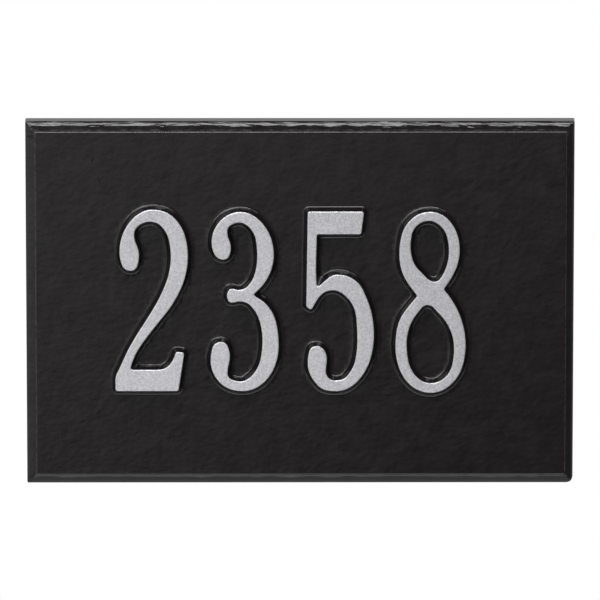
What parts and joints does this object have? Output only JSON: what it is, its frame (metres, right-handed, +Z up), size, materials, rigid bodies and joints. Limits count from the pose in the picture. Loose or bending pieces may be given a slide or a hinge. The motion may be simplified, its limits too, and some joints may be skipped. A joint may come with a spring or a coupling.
{
  "type": "house number plaque",
  "caption": "Cast rectangular wall plaque with a bevelled border, tall raised numerals and a hollow back with stud bosses.",
  "frame": {"origin": "middle of the back plane, at the centre of the four wall studs", "axes": "+X to the right as read, +Y back into the wall, +Z up"},
  "size_m": [0.2286, 0.0144, 0.153],
  "materials": {
    "plaque": "gloss black paint on a sand-cast skin, silver paint on the numerals' tops"
  },
  "bodies": {
    "root": {"plaque": "plaque"}
  },
  "joints": []
}
